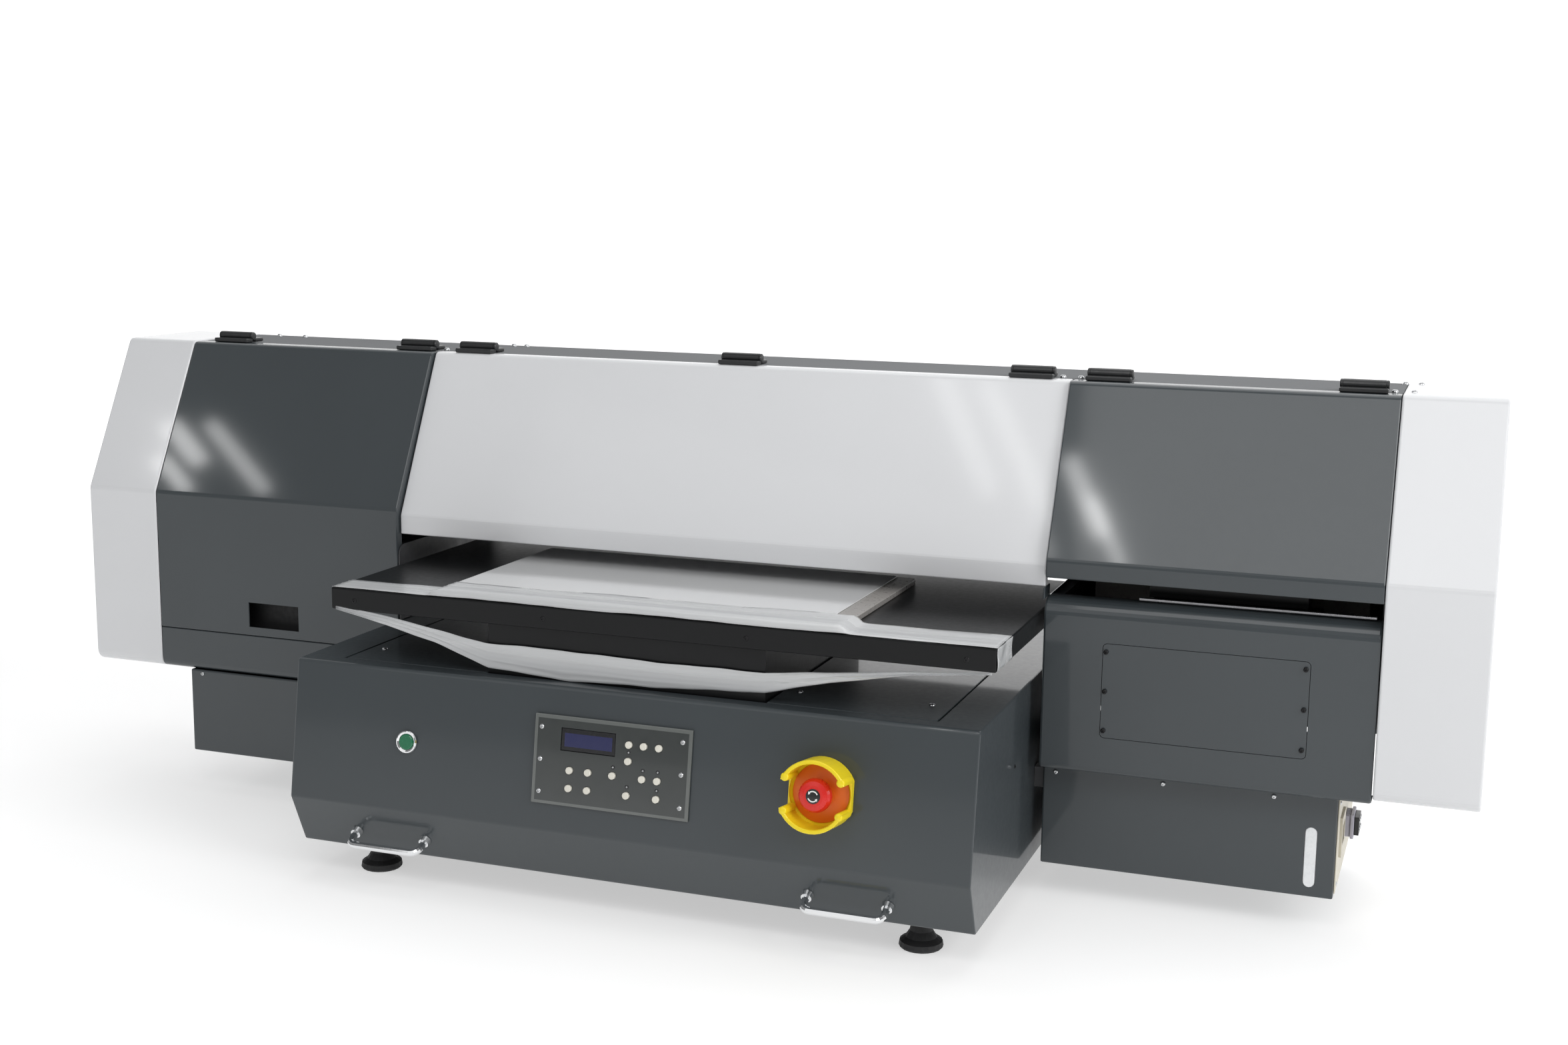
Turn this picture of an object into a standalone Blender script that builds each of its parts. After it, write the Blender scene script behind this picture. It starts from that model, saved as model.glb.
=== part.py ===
"""Flatbed UV printer: a low base with a sliding table, straddled by a full-width
print gantry with hinged lids.  Metres, +Z up, +X to the operator's right when
facing the control panel, +Y towards the rear.  The origin is on the floor under
the centre of the machine's outer box."""
import bpy
import bmesh
import math
from mathutils import Matrix, Vector

# ------------------------------------------------------------------ dimensions
# Machine coordinates: x from the base centre line, y from the base's front top
# edge, z from the floor.  ORIGIN moves them to the centre of the outer box.
ORIGIN = (-0.01015, -0.34303, 0.0)

BASE_HALF = 0.450          # half width of the base
BASE_D = 0.745             # depth of the base at its top
BASE_Z0 = 0.045            # underside of the base
BASE_FOLD = (-0.0262, 0.1118)   # front fold above the lower chamfer (y, z)
BASE_FOOT = (0.0041, 0.045)     # bottom front edge (y, z)
BASE_TOP = 0.2882          # top face
SHEET = 0.002              # general cover sheet
GAP = 0.0003

SLOT_X = (-0.1905, 0.1825)      # long slot the saddle rides in
PLATE_L = (-0.3930, -0.1905)
PLATE_R = (0.1825, 0.3920)
PLATE_Y = (0.0260, 0.7000)

FACE_Z = 0.1988            # height of the control centre line on the front face
PANEL_X = (-0.1053, 0.1026)
PANEL_S = (-0.0543, 0.0552)     # along the sloping face from FACE_Z
LCD_X = (-0.0692, 0.0031)
LCD_S = (0.0131, 0.0407)
KEY_D = 0.0088
KEY_COLS = (-0.0555, -0.0307, 0.0016, 0.0213, 0.0407, 0.0605)
KEY_ROWS = (0.0292, 0.0093, -0.0103, -0.0321)
KEYS = [(3, 0), (4, 0), (5, 0), (3, 1), (0, 2), (1, 2), (2, 2), (4, 2), (5, 2),
        (0, 3), (1, 3), (3, 3), (5, 3)]
START_X = -0.2832
ESTOP_X = 0.2671

GX = (-0.9647, 0.9850)     # outer faces of the end caps
SEAM = (-0.8480, -0.4464, 0.4655, 0.8643)   # cap/lid/lid/lid/cap seams
Z_TOP = 0.6550             # gantry top
Y_FRONT = 0.2384           # vertical front plane of the grey covers
Z_FOLD = 0.4448
Y_TOPF = 0.3431            # where the slope meets the top
Y_TOPB = 0.5071
Y_REAR = 0.5500
Z_REARF = 0.6000
Z_SKIRT = 0.1850           # lower edge of the gantry covers
HINGE = (0.3715, 0.6640)   # hinge axis (y, z)

TABLE_X = (-0.4116, 0.4605)
TABLE_Y = (0.0205, 0.4405)
TABLE_Z = (0.3519, 0.3796)
SADDLE_X = (-0.1885, 0.1805)
SADDLE_Y = (0.0260, 0.3860)

FOOT_X = 0.370
FOOT_Y = (0.059, 0.690)
HANDLES = (-0.313, 0.2988)

# --------------------------------------------------------------- housekeeping
for _o in list(bpy.data.objects):
    bpy.data.objects.remove(_o, do_unlink=True)

scene = bpy.context.scene
parts = bpy.data.collections.new("flatbed_uv_printer")
tools = bpy.data.collections.new("cutters")
scene.collection.children.link(parts)
scene.collection.children.link(tools)

root = bpy.data.objects.new("printer_origin", None)
root.location = ORIGIN
root.empty_display_size = 0.1
parts.objects.link(root)

_mats = {}


def mat(name, rgb, rough=0.5, metal=0.0, alpha=1.0):
    if name in _mats:
        return _mats[name]
    m = bpy.data.materials.new(name)
    m.use_nodes = True
    b = m.node_tree.nodes["Principled BSDF"]
    b.inputs["Base Color"].default_value = (rgb[0], rgb[1], rgb[2], 1.0)
    b.inputs["Roughness"].default_value = rough
    b.inputs["Metallic"].default_value = metal
    b.inputs["Alpha"].default_value = alpha
    m.diffuse_color = (rgb[0], rgb[1], rgb[2], 1.0)
    _mats[name] = m
    return m


GREY = mat("grey_powder_coat", (0.115, 0.130, 0.145), 0.34)
WHITE = mat("white_powder_coat", (0.78, 0.79, 0.80), 0.32)
PALE = mat("pale_grey_gloss", (0.52, 0.53, 0.53), 0.15)
BLACKM = mat("black_anodised", (0.020, 0.021, 0.023), 0.42, 0.6)
STEEL = mat("steel", (0.55, 0.56, 0.57), 0.28, 1.0)
CHROME = mat("chrome", (0.80, 0.81, 0.82), 0.08, 1.0)
RUBBER = mat("black_rubber", (0.018, 0.018, 0.019), 0.75)
BLACKP = mat("black_plastic", (0.016, 0.017, 0.018), 0.40)
ACRYL = mat("smoked_panel", (0.13, 0.14, 0.145), 0.18)
LCDM = mat("lcd_glass", (0.020, 0.025, 0.075), 0.10)
CREAM = mat("cream_keys", (0.70, 0.68, 0.60), 0.40)
GREEN = mat("green_plastic", (0.000, 0.190, 0.075), 0.35)
YELLOW = mat("yellow_plastic", (0.86, 0.70, 0.02), 0.38)
RED = mat("red_plastic", (0.72, 0.020, 0.020), 0.32)
BEIGE = mat("beige_plate", (0.62, 0.58, 0.48), 0.45)
ALU = mat("aluminium", (0.62, 0.63, 0.65), 0.35, 1.0)
FRAME = mat("frame_steel", (0.10, 0.10, 0.11), 0.55, 0.5)


# -------------------------------------------------------------------- helpers
def add(name, me, m, parent=None, collection=None):
    o = bpy.data.objects.new(name, me)
    (collection or parts).objects.link(o)
    if m is not None:
        me.materials.append(m)
    o.parent = parent or root
    return o


def mesh_of(bm, name):
    bmesh.ops.recalc_face_normals(bm, faces=bm.faces[:])
    me = bpy.data.meshes.new(name)
    bm.to_mesh(me)
    bm.free()
    return me


def smooth(o, angle=35.0):
    o.data.shade_smooth()
    o.data.set_sharp_from_angle(angle=math.radians(angle))
    return o


def bevel(o, width, seg=2, angle=40.0):
    b = o.modifiers.new("edges", "BEVEL")
    b.width = width
    b.segments = seg
    b.limit_method = "ANGLE"
    b.angle_limit = math.radians(angle)
    b.use_clamp_overlap = True
    return b


def box_mesh(name, x, y, z):
    bm = bmesh.new()
    m = Matrix.Translation(((x[0] + x[1]) / 2, (y[0] + y[1]) / 2, (z[0] + z[1]) / 2))
    m = m @ Matrix.Diagonal((x[1] - x[0], y[1] - y[0], z[1] - z[0], 1.0))
    bmesh.ops.create_cube(bm, size=1.0, matrix=m)
    return mesh_of(bm, name)


def box(name, x, y, z, m, parent=None, edge=0.0, seg=2):
    o = add(name, box_mesh(name, x, y, z), m, parent)
    if edge:
        bevel(o, edge, seg)
    return o


def rod_mesh(name, p0, p1, r0, r1=None, seg=24):
    p0, p1 = Vector(p0), Vector(p1)
    d = p1 - p0
    bm = bmesh.new()
    m = Matrix.Translation((p0 + p1) / 2) @ d.to_track_quat("Z", "Y").to_matrix().to_4x4()
    bmesh.ops.create_cone(bm, cap_ends=True, segments=seg, radius1=r0,
                          radius2=r0 if r1 is None else r1, depth=d.length, matrix=m)
    return mesh_of(bm, name)


def rod(name, p0, p1, r, m, parent=None, seg=24):
    return smooth(add(name, rod_mesh(name, p0, p1, r, seg=seg), m, parent))


def rounded(pts, radii, seg=4):
    """Corner-rounded copy of a closed outline; radii is one value or one per corner."""
    n = len(pts)
    if not isinstance(radii, (list, tuple)):
        radii = [radii] * n
    out = []
    for i in range(n):
        a, b, c = (Vector(pts[i - 1]), Vector(pts[i]), Vector(pts[(i + 1) % n]))
        r = radii[i]
        u, v = (a - b).normalized(), (c - b).normalized()
        ang = u.angle(v)
        if r <= 0 or ang > math.pi - 1e-3:
            out.append(tuple(b))
            continue
        t = r / math.tan(ang / 2)
        centre = b + (u + v).normalized() * (r / math.sin(ang / 2))
        s = b + u * t - centre
        e = b + v * t - centre
        sweep = s.angle_signed(e)
        k = max(1, int(round(seg * abs(sweep) / (math.pi / 2))))
        for j in range(k + 1):
            q = s.copy()
            q.rotate(Matrix.Rotation(-sweep * j / k, 2))
            out.append(tuple(centre + q))
    return out


def strip(path, depth, radii, seg=4, start=0.0, end=0.0, shift=0.0):
    """Closed outline of a folded sheet.  path is its outer side; the sheet lies
    depth to the left of the direction of travel.  start and end trim the ends,
    shift moves the outer side inwards."""
    p = [Vector(q) for q in path]
    d0 = (p[1] - p[0]).normalized()
    d1 = (p[-1] - p[-2]).normalized()
    p[0] = p[0] + d0 * start
    p[-1] = p[-1] - d1 * end

    def offset(k):
        res = []
        for i, q in enumerate(p):
            if i == 0:
                t = (p[1] - p[0]).normalized()
                res.append(q + Vector((-t.y, t.x)) * k)
            elif i == len(p) - 1:
                t = (p[-1] - p[-2]).normalized()
                res.append(q + Vector((-t.y, t.x)) * k)
            else:
                t0 = (q - p[i - 1]).normalized()
                t1 = (p[i + 1] - q).normalized()
                n0, n1 = Vector((-t0.y, t0.x)), Vector((-t1.y, t1.x))
                b = (n0 + n1).normalized()
                res.append(q + b * (k / max(0.2, b.dot(n0))))
        return res

    outer, inner = offset(shift), offset(depth)
    rr = [0.0] + list(radii) + [0.0]
    ro = [max(0.0, r - shift) if r else 0.0 for r in rr]
    ri = [max(0.0, r - depth) if r else 0.0 for r in rr]
    return rounded([tuple(q) for q in outer] + [tuple(q) for q in reversed(inner)],
                   ro + list(reversed(ri)), seg)


def prism_mesh(name, outline, axis, lo, hi):
    """Extrude a closed outline.  Outline coordinates are (y, z) for axis X,
    (x, z) for axis Y and (x, y) for axis Z."""
    bm = bmesh.new()

    def place(a, b, c):
        return {"X": (c, a, b), "Y": (a, c, b), "Z": (a, b, c)}[axis]

    clean = []
    for q in outline:
        if not clean or (Vector(q) - Vector(clean[-1])).length > 2e-5:
            clean.append(q)
    if (Vector(clean[0]) - Vector(clean[-1])).length < 2e-5:
        clean.pop()
    vs = [bm.verts.new(place(a, b, lo)) for a, b in clean]
    f = bm.faces.new(vs)
    ext = bmesh.ops.extrude_face_region(bm, geom=[f])
    moved = [g for g in ext["geom"] if isinstance(g, bmesh.types.BMVert)]
    step = {"X": (hi - lo, 0, 0), "Y": (0, hi - lo, 0), "Z": (0, 0, hi - lo)}[axis]
    bmesh.ops.translate(bm, verts=moved, vec=step)
    return mesh_of(bm, name)


def prism(name, outline, axis, lo, hi, m, parent=None):
    return smooth(add(name, prism_mesh(name, outline, axis, lo, hi), m, parent))


_count = [0]


def tool(o, me, op="DIFFERENCE"):
    """Apply a hidden body to o as a cut or a join, in o's own frame."""
    _count[0] += 1
    t = bpy.data.objects.new("cutter_%03d" % _count[0], me)
    tools.objects.link(t)
    t.parent = o.parent
    t.location = o.location
    t.rotation_euler = o.rotation_euler
    t.hide_render = True
    t.display_type = "WIRE"
    b = o.modifiers.new(op.lower(), "BOOLEAN")
    b.operation = op
    b.solver = "EXACT"
    b.object = t
    return t


def cut_box(o, x, y, z):
    return tool(o, box_mesh("c", x, y, z))


def join_box(o, x, y, z):
    return tool(o, box_mesh("j", x, y, z), "UNION")


def cut_rod(o, p0, p1, r, seg=24):
    return tool(o, rod_mesh("c", p0, p1, r, seg=seg))


def join_rod(o, p0, p1, r, seg=24, r1=None):
    return tool(o, rod_mesh("j", p0, p1, r, r1, seg=seg), "UNION")


def turned(name, profile, m, parent=None, seg=32, loc=(0, 0, 0), rot=(0, 0, 0)):
    """Profile of (radius, height) from the top of the axis round the outside to
    the bottom of the axis, turned about the local Z axis."""
    me = bpy.data.meshes.new(name)
    me.from_pydata([(max(r, 0.0), 0.0, h) for r, h in profile],
                   [(i, i + 1) for i in range(len(profile) - 1)], [])
    o = add(name, me, m, parent)
    o.location = loc
    o.rotation_euler = rot
    s = o.modifiers.new("turn", "SCREW")
    s.axis = "Z"
    s.steps = seg
    s.render_steps = seg
    s.use_merge_vertices = True
    s.merge_threshold = 0.00002
    s.use_smooth_shade = True
    return o


def pan(name, path, depth, radii, x, m, edge=0.0015, seg=6, t=SHEET):
    """A folded sheet-metal lid: a skin that follows path, with returned flanges
    of the given depth on all four sides."""
    o = prism(name, strip(path, depth, radii, seg), "X", x[0], x[1], m)
    if edge:
        bevel(o, edge, 2)
    inner = strip(path, depth + 0.010, radii, seg, start=t, end=t, shift=t)
    tool(o, prism_mesh("c", inner, "X", x[0] + t, x[1] - t))
    return o


# ---------------------------------------------------------------------- base
profile = rounded([BASE_FOOT, BASE_FOLD, (0.0, BASE_TOP), (BASE_D, BASE_TOP),
                   (BASE_D, BASE_Z0)], [0.004, 0.005, 0.005, 0.004, 0.004], 5)
base = prism("base_shell", profile, "X", -BASE_HALF, BASE_HALF, GREY)
bevel(base, 0.0018, 2, 50.0)
y0, z0 = BASE_FOOT
y1, z1 = BASE_FOLD
inner = [(y0 + 0.0026, z0 - 0.01), (y0 + 0.0026, z0 + 0.0015), (y1 + 0.0022, z1 + 0.0004),
         (0.0018, BASE_TOP - SHEET), (BASE_D - SHEET, BASE_TOP - SHEET), (BASE_D - SHEET, z0 - 0.01)]
tool(base, prism_mesh("c", rounded(inner, [0, 0, 0.003, 0.003, 0.002, 0], 3), "X",
                      -BASE_HALF + SHEET, BASE_HALF - SHEET))
cut_box(base, (PLATE_L[0] - 0.003, PLATE_R[1] + 0.003), (PLATE_Y[0] - 0.003, PLATE_Y[1] + 0.003),
        (BASE_TOP - 0.02, BASE_TOP + 0.02))

# controls sit in the frame of the leaning front face: local y points into the base
lean = math.atan2(-BASE_FOLD[0], BASE_TOP - BASE_FOLD[1])
face_y = BASE_FOLD[0] * (BASE_TOP - FACE_Z) / (BASE_TOP - BASE_FOLD[1])
face = bpy.data.objects.new("front_face", None)
face.parent = root
face.location = (0.0, face_y, FACE_Z)
face.rotation_euler = (-lean, 0.0, 0.0)
face.empty_display_size = 0.05
parts.objects.link(face)


def face_tool(o, me):
    t = tool(o, me)
    t.parent = face
    t.location = (0, 0, 0)
    t.rotation_euler = (0, 0, 0)
    return t


face_tool(base, box_mesh("c", (PANEL_X[0] + 0.014, PANEL_X[1] - 0.014), (-0.01, 0.02),
                         (PANEL_S[0] + 0.010, PANEL_S[1] - 0.009)))
face_tool(base, rod_mesh("c", (START_X, -0.01, 0), (START_X, 0.02, 0), 0.0117, seg=28))
face_tool(base, rod_mesh("c", (ESTOP_X, -0.01, 0), (ESTOP_X, 0.02, 0), 0.0117, seg=28))

frame = box("base_frame", (-0.440, 0.440), (0.013, 0.736), (0.0500, 0.2155), FRAME)
cut_box(frame, (-0.5, 0.5), (0.055, 0.694), (0.090, 0.180))
cut_box(frame, (-0.398, 0.398), (-0.1, 0.9), (0.090, 0.180))
for xr in ((-0.398, -0.180), (-0.140, 0.132), (0.172, 0.398)):
    cut_box(frame, xr, (0.055, 0.694), (0.0, 0.3))

for nm, xr in (("left_top_plate", PLATE_L), ("right_top_plate", PLATE_R)):
    p = box(nm, xr, PLATE_Y, (BASE_TOP - 0.0025, BASE_TOP), GREY)
    bevel(p, 0.0006, 1)

FOOT_PROFILE = [(0.0, 0.0496), (0.0055, 0.0496), (0.0055, 0.0300), (0.0125, 0.0292),
                (0.0140, 0.0210), (0.0190, 0.0130), (0.0258, 0.0085),
                (0.0268, 0.0022), (0.0250, 0.0), (0.0, 0.0)]
for nm, sx, fy in (("foot_front_left", -1, 0), ("foot_front_right", 1, 0),
                   ("foot_rear_left", -1, 1), ("foot_rear_right", 1, 1)):
    turned(nm, FOOT_PROFILE, RUBBER, seg=20, loc=(sx * FOOT_X, FOOT_Y[fy], 0.0))

# lift handles on the lower chamfer: local y points out of the chamfer face
ch_y, ch_z = (BASE_FOLD[0] + BASE_FOOT[0]) / 2, (BASE_FOLD[1] + BASE_FOOT[1]) / 2
ch_n = Vector((0.0, -(BASE_FOLD[1] - BASE_FOOT[1]), -(BASE_FOOT[0] - BASE_FOLD[0]))).normalized()
HANDLE_Z = 0.0708
hy = BASE_FOOT[0] + (BASE_FOLD[0] - BASE_FOOT[0]) * (HANDLE_Z - BASE_FOOT[1]) / (BASE_FOLD[1] - BASE_FOOT[1])
H_HALF, H_OUT, H_R = 0.0495, 0.0260, 0.0045
for nm, hx in (("left_handle", HANDLES[0]), ("right_handle", HANDLES[1])):
    cu = bpy.data.curves.new(nm, "CURVE")
    cu.dimensions = "3D"
    cu.bevel_depth = H_R
    cu.bevel_resolution = 3
    cu.use_fill_caps = True
    sp = cu.splines.new("POLY")
    pts = [(-H_HALF, 0.0006)]
    rb = 0.010
    for k in range(6):
        a = math.pi - (math.pi / 2) * k / 5
        pts.append((-H_HALF + rb + rb * math.cos(a), H_OUT - rb + rb * math.sin(a)))
    for k in range(6):
        a = math.pi / 2 - (math.pi / 2) * k / 5
        pts.append((H_HALF - rb + rb * math.cos(a), H_OUT - rb + rb * math.sin(a)))
    pts.append((H_HALF, 0.0006))
    sp.points.add(len(pts) - 1)
    for i, (a, b) in enumerate(pts):
        sp.points[i].co = (a, b, 0.0, 1.0)
    tmp = bpy.data.objects.new(nm + "_curve", cu)
    parts.objects.link(tmp)
    dg = bpy.context.evaluated_depsgraph_get()
    me = bpy.data.meshes.new_from_object(tmp.evaluated_get(dg))
    bpy.data.objects.remove(tmp, do_unlink=True)
    bm = bmesh.new()
    bm.from_mesh(me)
    bmesh.ops.remove_doubles(bm, verts=bm.verts[:], dist=0.00002)
    bmesh.ops.recalc_face_normals(bm, faces=bm.faces[:])
    bm.to_mesh(me)
    bm.free()
    me.materials.clear()
    o = add(nm, me, CHROME)
    o.location = (hx, hy, HANDLE_Z)
    o.rotation_euler = (math.atan2(ch_n.z, ch_n.y), 0.0, 0.0)
    for s in (-1, 1):
        tool(o, rod_mesh("j", (s * H_HALF, 0.0004, 0), (s * H_HALF, 0.0068, 0), 0.0078, 0.0066, seg=20), "UNION")
    smooth(o)

# slide bed: a plate with two rails and the end supports of the ball screw
BED_Z = 0.2160
bed = box("y_guide_bed", (-0.168, 0.160), (0.032, 0.712), (BED_Z, BED_Z + 0.010), STEEL)
RAILS = (-0.134, 0.126)
for rx in RAILS:
    join_box(bed, (rx - 0.010, rx + 0.010), (0.036, 0.708), (BED_Z + 0.008, BED_Z + 0.030))
for ys in ((0.036, 0.052), (0.692, 0.708)):
    join_box(bed, (-0.026, 0.018), ys, (BED_Z + 0.008, BED_Z + 0.044))
SCREW_X, SCREW_Z = -0.004, BED_Z + 0.027
cut_rod(bed, (SCREW_X, 0.0, SCREW_Z), (SCREW_X, 0.8, SCREW_Z), 0.0084, 20)
rod("table_ball_screw", (SCREW_X, 0.0330, SCREW_Z), (SCREW_X, 0.7110, SCREW_Z), 0.0080, STEEL, seg=20)

# ------------------------------------------------------------- front controls
panel = box("control_panel", PANEL_X, (-0.0034, -GAP), PANEL_S, ACRYL, parent=face, edge=0.0008, seg=2)
cut_box(panel, (LCD_X[0] - GAP, LCD_X[1] + GAP), (-0.01, 0.01), (LCD_S[0] - GAP, LCD_S[1] + GAP))
for c, r in KEYS:
    cut_rod(panel, (KEY_COLS[c], -0.01, KEY_ROWS[r]), (KEY_COLS[c], 0.01, KEY_ROWS[r]), KEY_D / 2 + 0.0005, 14)
box("lcd_display", LCD_X, (-0.0026, 0.0090), LCD_S, LCDM, parent=face, edge=0.0006, seg=1)
for i, (c, r) in enumerate(KEYS):
    k = turned("key_%02d" % (i + 1),
               [(0.0, 0.0034), (KEY_D / 2 - 0.0007, 0.0033), (KEY_D / 2, 0.0026),
                (KEY_D / 2, -0.0080), (0.0, -0.0080)], CREAM, parent=face, seg=14,
               loc=(KEY_COLS[c], -0.0034, KEY_ROWS[r]), rot=(math.pi / 2, 0.0, 0.0))

bez = turned("start_bezel",
             [(0.0126, 0.0050), (0.0138, 0.0046), (0.0145, 0.0034), (0.0145, 0.0004), (0.0113, 0.0004),
              (0.0113, -0.0180), (0.0104, -0.0180), (0.0104, 0.0040), (0.0126, 0.0050)],
             CHROME, parent=face, seg=24, loc=(START_X, 0.0, 0.0), rot=(math.pi / 2, 0.0, 0.0))
turned("start_button",
       [(0.0, 0.0052), (0.0088, 0.0052), (0.0099, 0.0044), (0.0101, 0.0030), (0.0101, -0.0120), (0.0, -0.0120)],
       GREEN, parent=face, seg=24, loc=(START_X, 0.0, 0.0), rot=(math.pi / 2, 0.0, 0.0))

G_R, G_H, G_W = 0.0425, 0.0400, 0.0048
guard = turned("estop_guard",
               [(0.0118, 0.0030), (G_R - G_W - 0.003, 0.0030), (G_R - G_W, 0.0060), (G_R - G_W, G_H - 0.001),
                (G_R - G_W + 0.001, G_H), (G_R - 0.001, G_H), (G_R, G_H - 0.001), (G_R, 0.0004),
                (0.0118, 0.0004), (0.0118, 0.0030)],
               YELLOW, parent=face, seg=40, loc=(ESTOP_X, 0.0, 0.0), rot=(math.pi / 2, 0.0, 0.0))
for s in (-1, 1):
    # flat flanks, and finger cut-outs between the two arched walls
    tool(guard, box_mesh("c", (s * 0.0385 - 0.0 if s > 0 else -0.06, 0.06 if s > 0 else -0.0385),
                         (-0.06, 0.06), (-0.01, 0.06)))
    tool(guard, box_mesh("c", (0.020 if s > 0 else -0.06, 0.06 if s > 0 else -0.020),
                         (-0.0165, 0.0165), (0.0085, 0.06)))

turned("estop_button",
       [(0.0, 0.0330), (0.0120, 0.0326), (0.0170, 0.0310), (0.0194, 0.0280), (0.0201, 0.0245), (0.0198, 0.0215),
        (0.0180, 0.0200), (0.0140, 0.0190), (0.0113, 0.0175), (0.0113, 0.0070), (0.0108, 0.0060),
        (0.0108, -0.0165), (0.0, -0.0165)],
       RED, parent=face, seg=28, loc=(ESTOP_X, 0.0, 0.0), rot=(math.pi / 2, 0.0, 0.0))

# ------------------------------------------------------------- gantry frames
for side in (-1, 1):
    nm = "left_side_frame" if side < 0 else "right_side_frame"
    xo = (-0.4795, -0.4675) if side < 0 else (0.4675, 0.4795)
    outline = [(0.2600, 0.1000), (0.2600, 0.3945), (0.4050, 0.3945), (0.4050, 0.5195), (0.5350, 0.5195),
               (0.5350, 0.1000)]
    if side > 0:
        outline[1] = (0.2600, 0.3930)
        outline[2] = (0.4050, 0.3930)
    f = prism(nm, rounded(outline, [0.004, 0.010, 0.006, 0.010, 0.010, 0.004], 3), "X", xo[0], xo[1], FRAME)
    if side > 0:
        cut_box(f, (0.46, 0.49), (0.25, 0.2785), (0.09, 0.1796))
    for ys in ((0.285, 0.310), (0.495, 0.520)):
        join_box(f, (-0.4680, -BASE_HALF - GAP) if side < 0 else (BASE_HALF + GAP, 0.4680), ys, (0.142, 0.168))
    if side < 0:
        join_box(f, (-0.4680, -0.4445), (0.2540, 0.5350), (0.2895, 0.3942))
        skin = rounded([(0.2402, 0.2893), (0.2402, 0.3952), (0.5360, 0.3952), (0.5360, 0.2893)],
                       [0.0, 0.014, 0.004, 0.0], 5)
        tool(f, prism_mesh("j", skin, "X", -0.4459, -0.4440), "UNION")

beam = box("x_beam", (-0.840, 0.858), (0.4200, 0.4820), (0.5198, 0.6040), ALU, edge=0.001, seg=1)
join_box(beam, (-0.835, 0.853), (0.4110, 0.4205), (0.5520, 0.5720))
cut_box(beam, (-0.9, 0.9), (0.4300, 0.4720), (0.5300, 0.5940))

# print carriage: closed hood over the print heads, hung on the rail
car = prism("print_carriage", rounded([(0.2740, 0.4180), (0.2740, 0.4480), (0.3300, 0.5620), (0.4030, 0.5620),
                                       (0.4030, 0.4180)], [0.004, 0.008, 0.008, 0.004, 0.004], 3),
            "X", 0.560, 0.800, BLACKM)
bevel(car, 0.002, 1, 50.0)
join_box(car, (0.585, 0.775), (0.2900, 0.3950), (0.3985, 0.4190))
join_box(car, (0.600, 0.760), (0.4020, 0.4106), (0.5400, 0.5600))

cap = box("capping_station", (0.575, 0.785), (0.2860, 0.3990), (0.3300, 0.3800), BLACKP, edge=0.002, seg=1)
join_box(cap, (0.590, 0.770), (0.2950, 0.3900), (0.3790, 0.3930))
cut_box(cap, (0.594, 0.766), (0.2990, 0.3860), (0.3840, 0.4000))

# ---------------------------------------------------------------- lids, covers
SLOPE_TOP = (Y_TOPF, Z_TOP)
PATH_TOP = (0.3695, Z_TOP)
FOLD = (Y_FRONT, Z_FOLD)


def lid_path(shift_y, fold_z, bottom_z):
    """Outer side of a lid from its bottom edge up over the fold to the hinge flange."""
    return [(Y_FRONT + shift_y, bottom_z), (Y_FRONT + shift_y, fold_z),
            (Y_TOPF + shift_y, Z_TOP), PATH_TOP]


def right_hand(path):
    return list(reversed(path))


LID_R = [0.012, 0.009]
left = pan("left_lid", right_hand(lid_path(0.0, Z_FOLD, 0.2445)), 0.0140, list(reversed(LID_R)),
           (SEAM[0] + 0.0006, SEAM[1] - 0.0003), GREY)
cut_box(left, (-0.6945, -0.6110), (0.20, 0.30), (0.2570, 0.2930))
cut_box(left, (-0.4636, -0.40), (0.20, 0.30), (0.20, 0.2900))
centre = pan("centre_lid", right_hand(lid_path(0.0080, 0.4360, 0.4100)), 0.0140, list(reversed(LID_R)),
             (SEAM[1] + 0.0012, SEAM[2] - 0.0012), WHITE)
right = pan("right_lid", right_hand(lid_path(0.0, Z_FOLD, 0.4225)), 0.0140, list(reversed(LID_R)),
            (SEAM[2] + 0.0003, SEAM[3] - 0.0006), GREY)

slope_dir = (Vector((Y_REAR, Z_REARF)) - Vector((Y_TOPB, Z_TOP))).normalized()
tb = Vector((Y_TOPB, Z_TOP))
for nm, xr in (("left_top_cover", (SEAM[0] + 0.0004, SEAM[1] - 0.0003)),
               ("centre_top_cover", (SEAM[1] + 0.0003, SEAM[2] - 0.0003)),
               ("right_top_cover", (SEAM[2] + 0.0003, SEAM[3] - 0.0004))):
    e = tb + slope_dir * 0.0120
    pan(nm, [(e.x, e.y), (Y_TOPB, Z_TOP), (0.3738, Z_TOP)], 0.0120, [0.004], xr, PALE, edge=0.0006, seg=4, t=0.0015)

e = tb + slope_dir * 0.0125
rear = prism("rear_cover", strip([(Y_REAR, Z_SKIRT), (Y_REAR, Z_REARF), (e.x, e.y)], 0.0020, [0.008], 5),
             "X", SEAM[0] + 0.0004, SEAM[3] - 0.0004, GREY)
cut_box(rear, (-0.4660, 0.4660), (0.50, 0.60), (0.10, 0.4100))

CAP_OUT = [(Y_REAR, Z_SKIRT - 0.0013), (Y_REAR, Z_REARF), (Y_TOPB, Z_TOP + 0.0015), (Y_TOPF, Z_TOP + 0.0015),
           (Y_FRONT - 0.0010, Z_FOLD), (Y_FRONT - 0.0010, Z_SKIRT - 0.0013)]


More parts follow.
